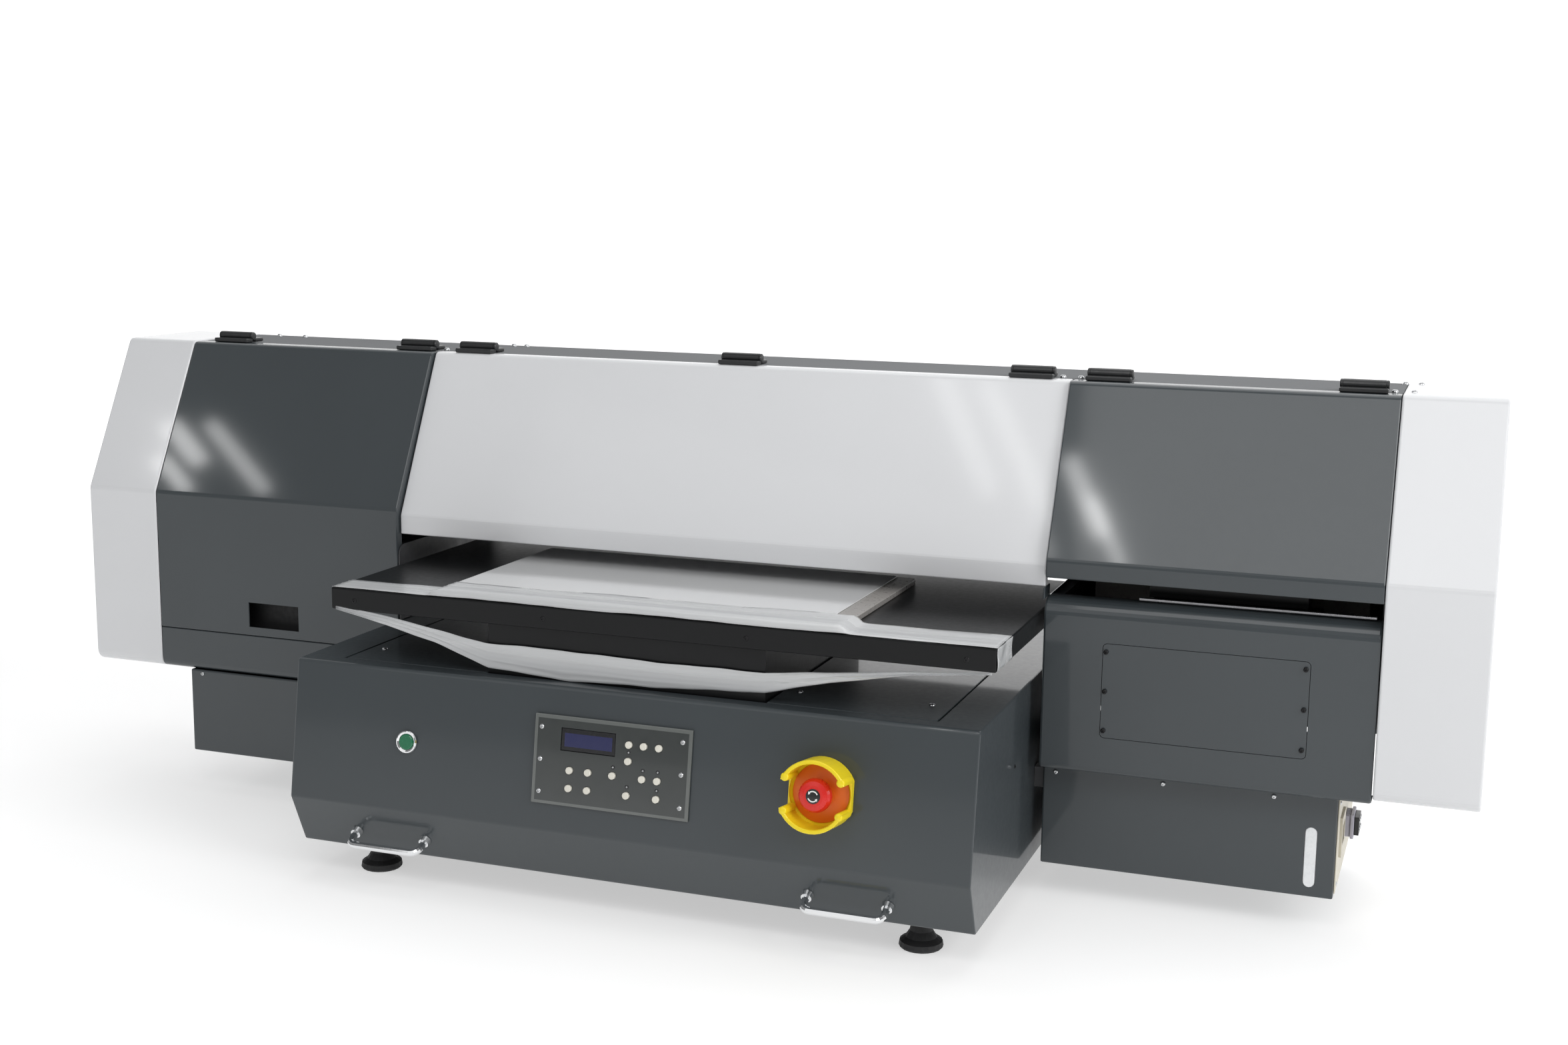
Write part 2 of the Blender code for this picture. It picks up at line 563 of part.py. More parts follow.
def inset(pts, t):
    """Closed outline moved inwards by t (outline runs anticlockwise)."""
    n = len(pts)
    out = []
    for i in range(n):
        a, b, c = Vector(pts[i - 1]), Vector(pts[i]), Vector(pts[(i + 1) % n])
        u, v = (b - a).normalized(), (c - b).normalized()
        n0, n1 = Vector((-u.y, u.x)), Vector((-v.y, v.x))
        w = (n0 + n1).normalized()
        out.append(tuple(b + w * (t / w.dot(n0))))
    return out


CAP_R = [0.010, 0.008, 0.006, 0.010, 0.014, 0.016]
for nm, xr, sign in (("left_end_cap", (GX[0], SEAM[0]), -1), ("right_end_cap", (SEAM[3], GX[1]), 1)):
    c = prism(nm, rounded(CAP_OUT, CAP_R, 6), "X", xr[0], xr[1], WHITE)
    bevel(c, 0.0030, 3, 50.0)
    hollow = rounded(inset(CAP_OUT, SHEET), [r - SHEET for r in CAP_R], 6)
    if sign < 0:
        tool(c, prism_mesh("c", hollow, "X", xr[0] + SHEET, xr[1] + 0.02))
    else:
        tool(c, prism_mesh("c", hollow, "X", xr[0] - 0.02, xr[1] - SHEET))

# left lower panel and box
lp = pan("left_lower_panel", [(Y_FRONT, 0.2438), (Y_FRONT, Z_SKIRT), (0.2580, Z_SKIRT)], 0.0140, [0.010],
         (SEAM[0] + 0.0006, -0.4636), GREY, edge=0.0010, seg=5)


def tub(name, x, y, z, m, edge, wall=SHEET, open_left=False, open_right=False):
    """A sheet-metal box that is open at the top."""
    o = box(name, x, y, z, m)
    bevel(o, edge, 3, 50.0)
    cut_box(o, (x[0] - 0.02 if open_left else x[0] + wall, x[1] + 0.02 if open_right else x[1] - wall),
            (y[0] + wall, y[1] - wall), (z[0] + wall, z[1] + 0.02))
    return o


llb = tub("left_lower_box", (-0.7994, -0.4635), (0.2393, Y_REAR - 0.0010), (0.0619, 0.1846), GREY, 0.0022,
          open_right=True)

# right front box with its rolled top edge and the opening over the capping station
RB_Z = 0.3970
rb = prism("right_front_box", rounded([(Y_REAR - 0.003, 0.1803), (Y_REAR - 0.003, RB_Z), (0.2402, RB_Z),
                                       (0.2402, 0.1803)], [0.0, 0.0, 0.020, 0.008], 7),
           "X", 0.4648, SEAM[3] - 0.0006, GREY)
bevel(rb, 0.0030, 2, 50.0)
tool(rb, prism_mesh("c", rounded([(0.60, 0.1823), (0.60, RB_Z - SHEET), (0.2422, RB_Z - SHEET), (0.2422, 0.1823)],
                                 [0.0, 0.0, 0.018, 0.006], 7), "X", 0.4668, 0.90))
cut_box(rb, (0.4668, 0.90), (0.2720, 0.60), (0.3900, 0.42))
cut_box(rb, (0.4668, 0.90), (0.2755, 0.60), (0.17, 0.19))
cut_box(rb, (0.4668, 0.4805), (0.2590, 0.60), (0.17, 0.19))
ACC = ((0.5400, 0.7855), (0.2280, 0.3460))
tool(rb, prism_mesh("c", rounded([(ACC[0][0] - 0.0007, ACC[1][0] - 0.0007), (ACC[0][1] + 0.0007, ACC[1][0] - 0.0007),
                                  (ACC[0][1] + 0.0007, ACC[1][1] + 0.0007), (ACC[0][0] - 0.0007, ACC[1][1] + 0.0007)],
                                 0.0057, 4), "Y", 0.23, 0.26))
ap = prism("access_panel", rounded([(ACC[0][0], ACC[1][0]), (ACC[0][1], ACC[1][0]), (ACC[0][1], ACC[1][1]),
                                    (ACC[0][0], ACC[1][1])], 0.005, 4), "Y", 0.2402, 0.2422, GREY)

rlb = tub("right_lower_box", (0.4635, 0.8243), (0.2760, Y_REAR - 0.0010), (0.0455, 0.1790), GREY, 0.0022,
          open_left=True)
WIN_X, WIN_Z, WIN_R = 0.7950, (0.0650, 0.1260), 0.0076
slot = [(WIN_X + WIN_R * math.cos(a), WIN_Z[1] + WIN_R * math.sin(a)) for a in
        [math.pi * k / 8 for k in range(9)]]
slot += [(WIN_X + WIN_R * math.cos(a), WIN_Z[0] + WIN_R * math.sin(a)) for a in
         [math.pi + math.pi * k / 8 for k in range(9)]]
tool(rlb, prism_mesh("c", slot, "Y", 0.26, 0.29))
cut_box(rlb, (0.81, 0.84), (0.2960, 0.5300), (0.0620, 0.1640))

ip = box("inlet_plate", (0.8246, 0.8262), (0.2800, 0.5420), (0.0520, 0.1740), BEIGE, edge=0.0004, seg=1)
join_box(ip, (0.8255, 0.8292), (0.3060, 0.3560), (0.0900, 0.1400))
join_box(ip, (0.8060, 0.8250), (0.3100, 0.3520), (0.0960, 0.1340))
cut_box(ip, (0.8120, 0.8400), (0.3150, 0.3470), (0.1020, 0.1280))

# -------------------------------------------------------------- moving table
sad = box("table_saddle", SADDLE_X, SADDLE_Y, (0.2620, TABLE_Z[0] - GAP), BLACKM)
# hollow, open at the rear, with a stiff bar across its front
cut_box(sad, (SADDLE_X[0] + 0.007, SADDLE_X[1] - 0.007), (SADDLE_Y[0] + 0.018, SADDLE_Y[1] + 0.02), (0.2710, 0.3455))
for rx in RAILS:
    for ys in ((0.080, 0.150), (0.270, 0.340)):
        join_box(sad, (rx - 0.0220, rx + 0.0220), ys, (0.2305, 0.2640))
join_box(sad, (SCREW_X - 0.020, SCREW_X + 0.020), (0.186, 0.230), (0.2285, 0.2640))
for rx in RAILS:
    cut_box(sad, (rx - 0.0105, rx + 0.0105), (0.0, 0.5), (0.20, BED_Z + 0.0305))
cut_rod(sad, (SCREW_X, 0.18, SCREW_Z), (SCREW_X, 0.24, SCREW_Z), 0.0084, 20)

tab = box("table_top", TABLE_X, TABLE_Y, TABLE_Z, BLACKM)
bevel(tab, 0.0018, 3)
cut_box(tab, (TABLE_X[0] + 0.005, TABLE_X[1] - 0.005), (TABLE_Y[0] + 0.005, TABLE_Y[1] - 0.005),
        (0.30, TABLE_Z[0] + 0.0170))
# a stiff pad under the top that stands on the saddle
join_box(tab, (SADDLE_X[0] + 0.01, SADDLE_X[1] - 0.01), (SADDLE_Y[0] + 0.02, SADDLE_Y[1] - 0.01),
         (TABLE_Z[0], TABLE_Z[0] + 0.0180))

# ------------------------------------------------------------------- hinges
HINGES = [("left_lid_hinge_1", -0.7926), ("left_lid_hinge_2", -0.4830), ("centre_lid_hinge_1", -0.3873),
          ("centre_lid_hinge_2", 0.0130), ("centre_lid_hinge_3", 0.4123), ("right_lid_hinge_1", 0.5111),
          ("right_lid_hinge_2", 0.8190)]
for nm, hx in HINGES:
    h = box(nm, (hx - 0.0285, hx + 0.0285), (0.3530, 0.3690), (Z_TOP + GAP, Z_TOP + 0.0062), BLACKP)
    bevel(h, 0.0012, 1)
    join_rod(h, (hx - 0.0250, HINGE[0], HINGE[1]), (hx + 0.0250, HINGE[0], HINGE[1]), 0.0062, 18)
    smooth(h)
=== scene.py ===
import math
import random

import bmesh
import bpy
from mathutils import Matrix, Vector


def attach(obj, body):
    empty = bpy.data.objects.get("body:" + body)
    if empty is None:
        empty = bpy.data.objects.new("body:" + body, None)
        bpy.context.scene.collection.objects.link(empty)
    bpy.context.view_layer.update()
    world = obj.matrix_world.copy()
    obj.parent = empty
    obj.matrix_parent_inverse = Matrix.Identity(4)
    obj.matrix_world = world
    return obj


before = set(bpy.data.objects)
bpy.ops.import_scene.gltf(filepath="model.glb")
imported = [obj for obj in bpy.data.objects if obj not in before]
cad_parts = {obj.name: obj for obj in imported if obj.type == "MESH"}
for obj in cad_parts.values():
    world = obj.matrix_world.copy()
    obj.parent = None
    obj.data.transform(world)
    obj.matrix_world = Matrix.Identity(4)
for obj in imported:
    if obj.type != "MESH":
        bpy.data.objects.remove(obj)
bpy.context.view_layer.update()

# Machine coordinates: x from the base's centre line, y back from the base's
# front top edge, z up from the floor.
OX, OY = -0.01015, -0.34303
LEAN = math.atan2(0.0262, 0.2882 - 0.1118)
FACE_O = Vector((OX, OY - 0.01328, 0.1988))
FACE_U = Vector((1.0, 0.0, 0.0))
FACE_N = Vector((0.0, math.cos(LEAN), -math.sin(LEAN)))      # into the machine
FACE_S = Vector((0.0, math.sin(LEAN), math.cos(LEAN)))       # up the face
rnd = random.Random(7)


def W(x, y, z):
    return Vector((x + OX, y + OY, z))


def F(x, s, out=0.0):
    """A point on the leaning front face: x, distance up the face, distance out."""
    return FACE_O + FACE_U * x + FACE_S * s - FACE_N * out


# ------------------------------------------------------------------ materials
def new_mat(name):
    m = bpy.data.materials.new("look_" + name)
    m.use_nodes = True
    nt = m.node_tree
    b = nt.nodes["Principled BSDF"]
    co = nt.nodes.new("ShaderNodeTexCoord")
    return m, nt, b, co


def ramp(nt, src, lo, hi, a, b):
    n = nt.nodes.new("ShaderNodeMapRange")
    n.inputs["From Min"].default_value = lo
    n.inputs["From Max"].default_value = hi
    n.inputs["To Min"].default_value = a
    n.inputs["To Max"].default_value = b
    nt.links.new(src, n.inputs["Value"])
    return n.outputs["Result"]


def noise(nt, co, scale, detail=2.0, rough=0.5, stretch=None):
    n = nt.nodes.new("ShaderNodeTexNoise")
    n.inputs["Scale"].default_value = scale
    n.inputs["Detail"].default_value = detail
    n.inputs["Roughness"].default_value = rough
    src = co.outputs["Object"]
    if stretch:
        mp = nt.nodes.new("ShaderNodeMapping")
        mp.inputs["Scale"].default_value = stretch
        nt.links.new(src, mp.inputs["Vector"])
        src = mp.outputs["Vector"]
    nt.links.new(src, n.inputs["Vector"])
    return n.outputs["Fac"]


def tint(nt, fac, c1, c2):
    n = nt.nodes.new("ShaderNodeMix")
    n.data_type = "RGBA"
    n.inputs[6].default_value = (*c1, 1.0)
    n.inputs[7].default_value = (*c2, 1.0)
    nt.links.new(fac, n.inputs[0])
    return n.outputs[2]


def coat(name, rgb, rough=0.30, peel=900.0, bump=0.25, var=0.06, grime=0.05, coatw=0.0, coatr=0.1, metal=0.0,
         stretch=None, dist=0.00012, spec=0.5, wave=0.0, speckle=None):
    """Painted or moulded surface: colour drift, a little dust, orange peel and uneven gloss."""
    m, nt, b, co = new_mat(name)
    big = noise(nt, co, 4.0, 3.0, 0.55)
    fine = noise(nt, co, 140.0, 3.0, 0.6)
    c1 = tuple(max(0.0, v * (1.0 - var)) for v in rgb)
    c2 = tuple(min(1.0, v * (1.0 + var)) for v in rgb)
    col = tint(nt, ramp(nt, big, 0.3, 0.7, 0.0, 1.0), c1, c2)
    if speckle:
        sp = noise(nt, co, speckle[0], 1.0, 0.4)
        mx = nt.nodes.new("ShaderNodeMix")
        mx.data_type = "RGBA"
        mx.inputs[7].default_value = (*speckle[1], 1.0)
        nt.links.new(ramp(nt, sp, speckle[2], speckle[2] + 0.06, 0.0, 1.0), mx.inputs[0])
        nt.links.new(col, mx.inputs[6])
        col = mx.outputs[2]
    nt.links.new(col, b.inputs["Base Color"])
    nt.links.new(ramp(nt, fine, 0.3, 0.7, max(0.02, rough - grime), rough + grime), b.inputs["Roughness"])
    b.inputs["Metallic"].default_value = metal
    b.inputs["Specular IOR Level"].default_value = spec
    b.inputs["Coat Weight"].default_value = coatw
    b.inputs["Coat Roughness"].default_value = coatr
    h = noise(nt, co, peel, 2.0, 0.5, stretch)
    bp = nt.nodes.new("ShaderNodeBump")
    bp.inputs["Strength"].default_value = bump
    bp.inputs["Distance"].default_value = dist
    nt.links.new(h, bp.inputs["Height"])
    if wave:
        # sheet metal is never quite flat: long shallow waves under the paint
        w = noise(nt, co, 9.0, 1.0, 0.4)
        b2 = nt.nodes.new("ShaderNodeBump")
        b2.inputs["Strength"].default_value = wave
        b2.inputs["Distance"].default_value = 0.002
        nt.links.new(w, b2.inputs["Height"])
        nt.links.new(b2.outputs["Normal"], bp.inputs["Normal"])
    nt.links.new(bp.outputs["Normal"], b.inputs["Normal"])
    return m


M = {
    "grey": coat("grey_coat", (0.0385, 0.0468, 0.0518), 0.42, 620.0, 0.16, 0.05, 0.03, 0.55, 0.07, wave=0.10,
                 dist=0.00010, spec=0.35),
    "white": coat("white_coat", (0.67, 0.677, 0.69), 0.38, 620.0, 0.18, 0.012, 0.03, 0.45, 0.08, wave=0.08,
                  dist=0.00010),
    "pale": coat("pale_gloss", (0.20, 0.205, 0.21), 0.10, 420.0, 0.10, 0.02, 0.03, 0.0, 0.05, wave=0.12, spec=0.0),
    "blackm": coat("black_anodised", (0.0042, 0.0045, 0.0051), 0.31, 1500.0, 0.03, 0.10, 0.03, metal=0.0, spec=0.24,
                   speckle=(2300.0, (0.0065, 0.007, 0.0075), 0.64)),
    "steel": coat("steel", (0.56, 0.57, 0.58), 0.29, 90.0, 0.04, 0.03, 0.03, metal=1.0, stretch=(1.0, 0.02, 8.0),
                  dist=0.00006),
    "chrome": coat("chrome", (0.80, 0.81, 0.82), 0.07, 300.0, 0.05, 0.02, 0.03, metal=1.0, dist=0.00003),
    "zinc": coat("zinc", (0.58, 0.59, 0.60), 0.25, 1400.0, 0.20, 0.06, 0.07, metal=1.0, dist=0.00005),
    "rubber": coat("rubber", (0.014, 0.014, 0.015), 0.62, 1300.0, 0.6, 0.20, 0.12, dist=0.0002),
    "blackp": coat("black_plastic", (0.013, 0.014, 0.015), 0.34, 1700.0, 0.45, 0.12, 0.06, dist=0.00010),
    "black_oxide": coat("black_oxide", (0.012, 0.012, 0.013), 0.38, 1500.0, 0.3, 0.15, 0.08, metal=0.6),
    "cream": coat("cream", (0.72, 0.70, 0.62), 0.38, 1500.0, 0.2, 0.03, 0.05),
    "green": coat("green", (0.002, 0.135, 0.055), 0.27, 900.0, 0.08, 0.05, 0.04, 0.5, 0.12),
    "yellow": coat("yellow", (0.84, 0.66, 0.012), 0.36, 1100.0, 0.25, 0.03, 0.06),
    "red": coat("red", (0.66, 0.018, 0.012), 0.30, 1200.0, 0.15, 0.04, 0.05),
    "orange": coat("orange", (0.82, 0.17, 0.012), 0.40, 1200.0, 0.12, 0.04, 0.05),
    "beige": coat("beige", (0.60, 0.56, 0.46), 0.42, 700.0, 0.3, 0.04, 0.06),
    "alu": coat("aluminium", (0.60, 0.61, 0.63), 0.33, 120.0, 0.3, 0.04, 0.06, metal=1.0, stretch=(0.02, 4.0, 4.0)),
    "frame": coat("frame_steel", (0.035, 0.036, 0.039), 0.45, 800.0, 0.4, 0.12, 0.08),
    "board": coat("board", (0.66, 0.665, 0.67), 0.10, 260.0, 0.05, 0.01, 0.02, 0.5, 0.04),
    "board_edge": coat("board_edge", (0.085, 0.062, 0.048), 0.6, 700.0, 0.6, 0.25, 0.1),
    "board_under": coat("board_under", (0.30, 0.285, 0.27), 0.30, 500.0, 0.15, 0.06, 0.05),
    "rod": coat("rod", (0.30, 0.30, 0.31), 0.30, 600.0, 0.15, 0.05, 0.05, metal=1.0),
    # near-black painted shade: stands in for the darkness deep inside the bays and behind the left window
    "painted_shade_black": coat("painted_shade_fill", (0.010, 0.010, 0.011), 0.6, 900.0, 0.2, 0.2, 0.1),
    "lilac": coat("lilac", (0.44, 0.43, 0.50), 0.42, 1200.0, 0.2, 0.04, 0.05),
    "white_plastic": coat("white_plastic", (0.80, 0.81, 0.80), 0.28, 900.0, 0.1, 0.02, 0.05, 0.2, 0.1),
    "led_off": coat("led_off", (0.33, 0.34, 0.35), 0.12, 900.0, 0.02, 0.02, 0.02, 0.6, 0.05),
    "brass": coat("brass", (0.62, 0.46, 0.20), 0.30, 900.0, 0.2, 0.05, 0.06, metal=1.0),
    "wire_sleeve": coat("wire_sleeve", (0.02, 0.02, 0.022), 0.5, 1500.0, 0.5, 0.15, 0.1),
}

# clear acrylic plate: printed grey inside, bright cut edge round it
m, nt, b, co = new_mat("smoked_panel")
geo = nt.nodes.new("ShaderNodeSeparateXYZ")
nt.links.new(co.outputs["Object"], geo.inputs[0])


def math_node(op, a, c=None):
    n = nt.nodes.new("ShaderNodeMath")
    n.operation = op
    for i, v in enumerate((a, c)):
        if v is None:
            continue
        if isinstance(v, (int, float)):
            n.inputs[i].default_value = v
        else:
            nt.links.new(v, n.inputs[i])
    return n.outputs[0]


pc = F((-0.1053 + 0.1026) / 2, (-0.0543 + 0.0552) / 2)
dx = math_node("ABSOLUTE", math_node("SUBTRACT", geo.outputs[0], pc.x))
dz = math_node("ABSOLUTE", math_node("SUBTRACT", geo.outputs[2], pc.z))
edge = math_node("MAXIMUM", math_node("SUBTRACT", dx, 0.2079 / 2 - 0.0042),
                 math_node("SUBTRACT", dz, 0.1095 / 2 * math.cos(LEAN) - 0.0042))
band = ramp(nt, edge, -0.0002, 0.0002, 0.0, 1.0)
nt.links.new(tint(nt, band, (0.036, 0.041, 0.040), (0.120, 0.129, 0.123)), b.inputs["Base Color"])
nt.links.new(ramp(nt, noise(nt, co, 60.0, 3.0, 0.6), 0.3, 0.7, 0.10, 0.20), b.inputs["Roughness"])
b.inputs["Coat Weight"].default_value = 0.6
b.inputs["Coat Roughness"].default_value = 0.04
M["smoked"] = m

# display: black bezel, dark blue glass window in it
m, nt, b, co = new_mat("lcd")
geo = nt.nodes.new("ShaderNodeSeparateXYZ")
nt.links.new(co.outputs["Object"], geo.inputs[0])
lc = F((-0.0692 + 0.0031) / 2, (0.0131 + 0.0407) / 2)
dx = math_node("ABSOLUTE", math_node("SUBTRACT", geo.outputs[0], lc.x))
dz = math_node("ABSOLUTE", math_node("SUBTRACT", geo.outputs[2], lc.z))
edge = math_node("MAXIMUM", math_node("SUBTRACT", dx, 0.0317), math_node("SUBTRACT", dz, 0.0082))
band = ramp(nt, edge, -0.0002, 0.0002, 0.0, 1.0)
nt.links.new(tint(nt, band, (0.020, 0.023, 0.085), (0.010, 0.010, 0.012)), b.inputs["Base Color"])
nt.links.new(ramp(nt, noise(nt, co, 300.0, 2.0, 0.5), 0.3, 0.7, 0.07, 0.14), b.inputs["Roughness"])
b.inputs["Coat Weight"].default_value = 0.7
b.inputs["Coat Roughness"].default_value = 0.03
M["lcd"] = m

# stretch film: thin, milky, streaked along its length
m, nt, b, co = new_mat("stretch_film")
st = noise(nt, co, 7.0, 1.0, 0.40, (0.25, 6.0, 6.0))
nt.links.new(tint(nt, ramp(nt, st, 0.35, 0.68, 0.0, 1.0), (0.54, 0.55, 0.56), (0.64, 0.65, 0.655)),
             b.inputs["Base Color"])
nt.links.new(ramp(nt, st, 0.3, 0.7, 0.16, 0.34), b.inputs["Roughness"])
nt.links.new(ramp(nt, st, 0.30, 0.60, 0.93, 0.99), b.inputs["Alpha"])
b.inputs["Transmission Weight"].default_value = 0.15
b.inputs["Coat Weight"].default_value = 0.4
b.inputs["Coat Roughness"].default_value = 0.08
bp = nt.nodes.new("ShaderNodeBump")
bp.inputs["Strength"].default_value = 0.07
bp.inputs["Distance"].default_value = 0.0003
nt.links.new(st, bp.inputs["Height"])
nt.links.new(bp.outputs["Normal"], b.inputs["Normal"])
M["film"] = m

# milky tank seen through the level window
m, nt, b, co = new_mat("tank")
nt.links.new(tint(nt, noise(nt, co, 40.0, 2.0, 0.5), (0.74, 0.76, 0.77), (0.84, 0.85, 0.86)), b.inputs["Base Color"])
nt.links.new(ramp(nt, noise(nt, co, 200.0, 2.0, 0.5), 0.3, 0.7, 0.22, 0.34), b.inputs["Roughness"])
b.inputs["Subsurface Weight"].default_value = 0.35
b.inputs["Subsurface Radius"].default_value = (0.004, 0.004, 0.004)
M["tank"] = m

LOOK = {}
for n in ("base_shell", "left_top_plate", "right_top_plate", "left_lid", "right_lid", "left_lower_panel",
          "left_lower_box", "right_front_box", "access_panel", "right_lower_box", "rear_cover"):
    LOOK[n] = "grey"
for n in ("centre_lid", "left_end_cap", "right_end_cap"):
    LOOK[n] = "white"
for n in ("left_top_cover", "centre_top_cover", "right_top_cover"):
    LOOK[n] = "pale"
for n in ("table_top", "table_saddle", "print_carriage"):
    LOOK[n] = "blackm"
for n in ("y_guide_bed", "table_ball_screw"):
    LOOK[n] = "steel"
for n in ("left_handle", "right_handle", "start_bezel"):
    LOOK[n] = "chrome"
for n in ("foot_front_left", "foot_front_right", "foot_rear_left", "foot_rear_right"):
    LOOK[n] = "rubber"
for n in ("capping_station", "left_lid_hinge_1", "left_lid_hinge_2", "centre_lid_hinge_1", "centre_lid_hinge_2",
          "centre_lid_hinge_3", "right_lid_hinge_1", "right_lid_hinge_2"):
    LOOK[n] = "blackp"
for i in range(1, 14):
    LOOK["key_%02d" % i] = "cream"
LOOK.update(control_panel="smoked", lcd_display="lcd", start_button="green", estop_guard="yellow",
            estop_button="red", inlet_plate="beige", x_beam="alu", base_frame="frame",
            left_side_frame="frame", right_side_frame="frame")
for n, key in LOOK.items():
    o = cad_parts[n]
    if not o.material_slots:
        o.data.materials.append(M[key])
    for s in o.material_slots:
        s.material = M[key]
assert set(LOOK) == set(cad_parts), sorted(set(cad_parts) ^ set(LOOK))


# -------------------------------------------------------------------- helpers
def put(name, bm, key, body="frame", smooth_angle=35.0, bevel=0.0, seg=2):
    bmesh.ops.recalc_face_normals(bm, faces=bm.faces[:])
    me = bpy.data.meshes.new(name)
    bm.to_mesh(me)
    bm.free()
    me.shade_smooth()
    me.set_sharp_from_angle(angle=math.radians(smooth_angle))
    me.materials.append(M[key])
    o = bpy.data.objects.new(name, me)
    bpy.context.scene.collection.objects.link(o)
    if bevel:
        md = o.modifiers.new("edge", "BEVEL")
        md.width = bevel
        md.segments = seg
        md.limit_method = "ANGLE"
        md.angle_limit = math.radians(35)
        md.harden_normals = False
    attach(o, body)
    return o


def box_into(bm, x, y, z, rot=None, at=None):
    vs = []
    for i in (0, 1):
        for j in (0, 1):
            for k in (0, 1):
                p = Vector((x[i], y[j], z[k]))
                if rot is not None:
                    p = rot @ p
                vs.append(bm.verts.new(p + at if at is not None else W(*p)))
    for f in ((0, 1, 3, 2), (4, 6, 7, 5), (0, 4, 5, 1), (2, 3, 7, 6), (0, 2, 6, 4), (1, 5, 7, 3)):
        bm.faces.new([vs[i] for i in f])


def basis(axis):
    a = Vector(axis).normalized()
    u = a.cross(Vector((0, 0, 1)) if abs(a.z) < 0.9 else Vector((1, 0, 0))).normalized()
    return a, u, a.cross(u)


def lathe_into(bm, origin, axis, profile, seg=24, shapes=None, turn=0.0):
    """A closed turned solid. profile is (radius, height) from the axis out and back to the axis;
    shapes names the profile points whose ring isn't round."""
    a, u, v = basis(axis)
    rings = []
    for k, (r, h) in enumerate(profile):
        if r <= 1e-9:
            rings.append([bm.verts.new(origin + a * h)])
            continue
        ring = []
        for i in range(seg):
            t = 2 * math.pi * i / seg
            rr = r
            form = (shapes or {}).get(k)
            if form == "hex":
                w = (t % (math.pi / 3)) - math.pi / 6
                rr = r * math.cos(math.pi / 6) / math.cos(w)
            elif form == "cross":
                q = (t % (math.pi / 2))
                q = min(q, math.pi / 2 - q)
                rr = r if q < math.radians(12) else r * 0.34
            ring.append(bm.verts.new(origin + a * h + (u * math.cos(t + turn) + v * math.sin(t + turn)) * rr))
        rings.append(ring)
    for p, q in zip(rings[:-1], rings[1:]):
        if len(p) == 1 and len(q) == 1:
            continue
        for i in range(seg):
            j = (i + 1) % seg
            if len(p) == 1:
                bm.faces.new((p[0], q[i], q[j]))
            elif len(q) == 1:
                bm.faces.new((p[i], p[j], q[0]))
            else:
                bm.faces.new((p[i], p[j], q[j], q[i]))


def screw_into(bm, p, axis, r=0.0034, h=0.0020, form="hex", sunk=0.0006):
    """A screw head standing on the surface at p: dome, with a driver recess."""
    rec = r * (0.42 if form == "hex" else 0.56)
    prof = [(0.0, -sunk), (r, -sunk), (r, h * 0.30), (r * 0.88, h * 0.68), (r * 0.66, h * 0.94),
            (rec * 1.12, h), (rec, h * 0.96), (rec * 0.92, h * 0.25), (0.0, h * 0.20)]
    lathe_into(bm, p, axis, prof, 24, {6: form, 7: form}, rnd.uniform(0, 1.0))


def screws(name, pts, axis, key="zinc", body="frame", r=0.0034, h=0.0020, form="hex", washer=0.0):
    bm = bmesh.new()
    for p in pts:
        if washer:
            a, u, v = basis(axis)
            lathe_into(bm, p, axis, [(0.0, -0.0004), (washer, -0.0004), (washer, 0.0006), (washer * 0.95, 0.0008),
                                     (0.0, 0.0008)], 24)
            screw_into(bm, p + a * 0.0010, axis, r, h, form, 0.0002)
        else:
            screw_into(bm, p, axis, r, h, form)
    return put(name, bm, key, body, 30.0)


OUT = -FACE_N
FRONT = Vector((0, -1, 0))
UP = Vector((0, 0, 1))
LEFT = Vector((-1, 0, 0))
RIGHT = Vector((1, 0, 0))
BACK = Vector((0, 1, 0))


def on_face(x, z, out=0.0):
    """A point on the front face at machine x and height z."""
    s = (z - 0.1988) / math.cos(LEAN)
    return F(x, s, out)


# ------------------------------------------------------------- control panel
screws("panel_screws", [on_face(x, z, 0.0034) for x, z in
                        ((-0.0961, 0.2379), (-0.0961, 0.1988), (-0.0958, 0.1597), (0.0905, 0.2379),
                         (0.0906, 0.1993), (0.0911, 0.1601))], OUT, "zinc", r=0.0030, h=0.0013, form="cross")
bm = bmesh.new()
for x, z in ((0.0213, 0.2185), (0.0018, 0.1987), (0.0411, 0.1988), (0.0607, 0.1990), (0.0215, 0.1773),
             (0.0606, 0.1772)):
    lathe_into(bm, on_face(x, z, 0.0032), OUT, [(0.0, -0.0002), (0.0025, -0.0002), (0.0025, 0.0004),
                                                (0.0022, 0.0006), (0.0015, 0.0006), (0.0015, 0.0004), (0.0, 0.0004)], 20)
put("panel_led_holders", bm, "blackp")
bm = bmesh.new()
for x, z in ((0.0213, 0.2185), (0.0018, 0.1987), (0.0411, 0.1988), (0.0607, 0.1990), (0.0215, 0.1773),
             (0.0606, 0.1772)):
    lathe_into(bm, on_face(x, z, 0.0032), OUT, [(0.0, 0.00042), (0.0012, 0.00042), (0.0011, 0.0010), (0.0006, 0.0014),
                                                (0.0, 0.0015)], 16)
put("panel_leds", bm, "led_off")

